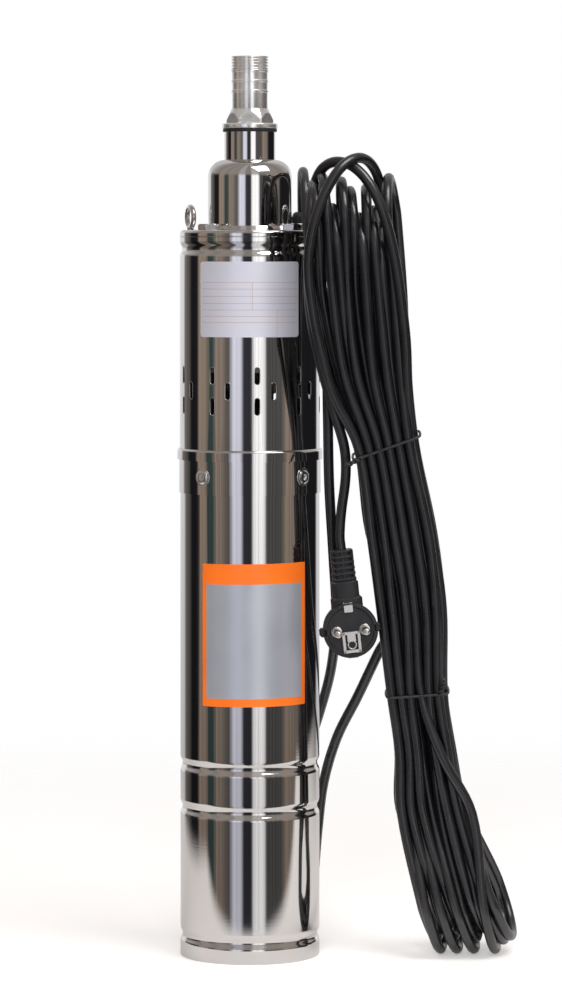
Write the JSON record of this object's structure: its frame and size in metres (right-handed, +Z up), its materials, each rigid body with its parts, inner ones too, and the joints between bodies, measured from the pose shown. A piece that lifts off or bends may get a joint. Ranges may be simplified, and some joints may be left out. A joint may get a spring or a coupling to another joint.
{
  "type": "borehole submersible pump",
  "caption": "Slim stainless borehole pump: oil-filled motor below, slotted screw-pump casing above, bell outlet with hose tail, lifting eyes, mains cable in a tied hank with plug.",
  "frame": {"origin": "centre of the base, on the surface that the pump stands on", "axes": "+Z up along the pump's axis, -Y to the front as pictured, +X to the side where the cable's hank leans"},
  "size_m": [0.2327, 0.1637, 0.6153],
  "materials": {
    "polished_steel": "polished stainless steel",
    "turned_steel": "turned and ground steel",
    "bright_fitting": "bright turned aluminium",
    "cast_bracket": "machined casting",
    "plate_stack": "stacked electrical steel",
    "copper_winding": "enamelled copper wire",
    "end_ring_alloy": "die cast aluminium",
    "seal_rubber": "moulded rubber",
    "seal_ceramic": "lapped ceramic",
    "capacitor_case": "moulded plastic can",
    "cable_sheath": "smooth black sheath",
    "plug_plastic": "moulded black plastic",
    "plug_contact": "nickel plated brass",
    "tie_wire": "coated tie wire"
  },
  "bodies": {
    "root": {"motor_tube": "polished_steel", "base_cap": "cast_bracket", "base_oring": "seal_rubber", "run_capacitor": "capacitor_case", "lower_bracket": "cast_bracket", "lower_bearing_outer": "turned_steel", "stator_core": "plate_stack", "stator_winding": "copper_winding", "motor_head": "cast_bracket", "upper_bearing_outer": "turned_steel", "seal_cover": "turned_steel", "seal_seat": "seal_ceramic", "joint_sleeve": "polished_steel", "joint_screws": "turned_steel", "rubber_stator": "seal_rubber", "stator_jacket": "turned_steel", "suction_ring": "turned_steel", "tie_rods": "turned_steel", "tie_spacers": "turned_steel", "tie_nuts": "turned_steel", "pump_casing": "polished_steel", "top_plate": "polished_steel", "head_oring": "seal_rubber", "outlet_bell": "polished_steel", "outlet_gasket": "seal_rubber", "hose_tail": "bright_fitting", "lifting_eyes": "polished_steel", "gland_base": "polished_steel", "gland_nut": "plug_plastic", "gland_seal": "seal_rubber", "inner_lead": "cable_sheath", "lead_grommet": "seal_rubber", "cord_lead": "cable_sheath", "cord_hank": "cable_sheath", "cord_loop": "cable_sheath", "cord_tail": "cable_sheath", "hank_ties": "tie_wire", "plug_body": "plug_plastic", "plug_sleeve": "plug_plastic", "plug_pins": "plug_contact", "plug_earth": "plug_contact"},
    "shaft": {"motor_shaft": "turned_steel", "rotor_core": "plate_stack", "rotor_end_rings": "end_ring_alloy", "lower_bearing_inner": "turned_steel", "upper_bearing_inner": "turned_steel", "seal_ring": "turned_steel", "seal_spring": "turned_steel", "seal_collar": "turned_steel", "coupling_hub": "turned_steel", "lower_drive_pin": "turned_steel"},
    "lower_balls": {"lower_bearing_balls": "turned_steel"},
    "upper_balls": {"upper_bearing_balls": "turned_steel"},
    "boot": {"rod_boot": "seal_rubber"},
    "rod": {"connecting_rod": "turned_steel"},
    "screw": {"screw_rotor": "polished_steel", "rotor_socket": "turned_steel", "upper_drive_pin": "turned_steel"}
  },
  "joints": [
    {"name": "shaft_spin", "type": "hinge", "parent": "root", "child": "shaft", "pos_m": [0, 0, 0.2], "axis": [0, 0, 1], "continuous": true},
    {"name": "lower_balls_spin", "type": "hinge", "parent": "root", "child": "lower_balls", "pos_m": [0, 0, 0.1085], "axis": [0, 0, 1], "continuous": true},
    {"name": "upper_balls_spin", "type": "hinge", "parent": "root", "child": "upper_balls", "pos_m": [0, 0, 0.29], "axis": [0, 0, 1], "continuous": true},
    {"name": "screw_orbit", "type": "hinge", "parent": "root", "child": "boot", "pos_m": [0, 0, 0.36], "axis": [0, 0, 1], "continuous": true},
    {"name": "rod_spin", "type": "hinge", "parent": "boot", "child": "rod", "pos_m": [0, 0, 0.36], "axis": [0.0893, 0, 0.996], "continuous": true},
    {"name": "screw_spin", "type": "hinge", "parent": "boot", "child": "screw", "pos_m": [0.0026, 0, 0.389], "axis": [0, 0, 1], "continuous": true}
  ],
  "couplings": [
    {"joint": "lower_balls_spin", "follows": "shaft_spin", "ratio": 0.3824},
    {"joint": "upper_balls_spin", "follows": "shaft_spin", "ratio": 0.3814},
    {"joint": "screw_orbit", "follows": "shaft_spin", "ratio": -1},
    {"joint": "rod_spin", "follows": "shaft_spin", "ratio": 2},
    {"joint": "screw_spin", "follows": "shaft_spin", "ratio": 2}
  ]
}
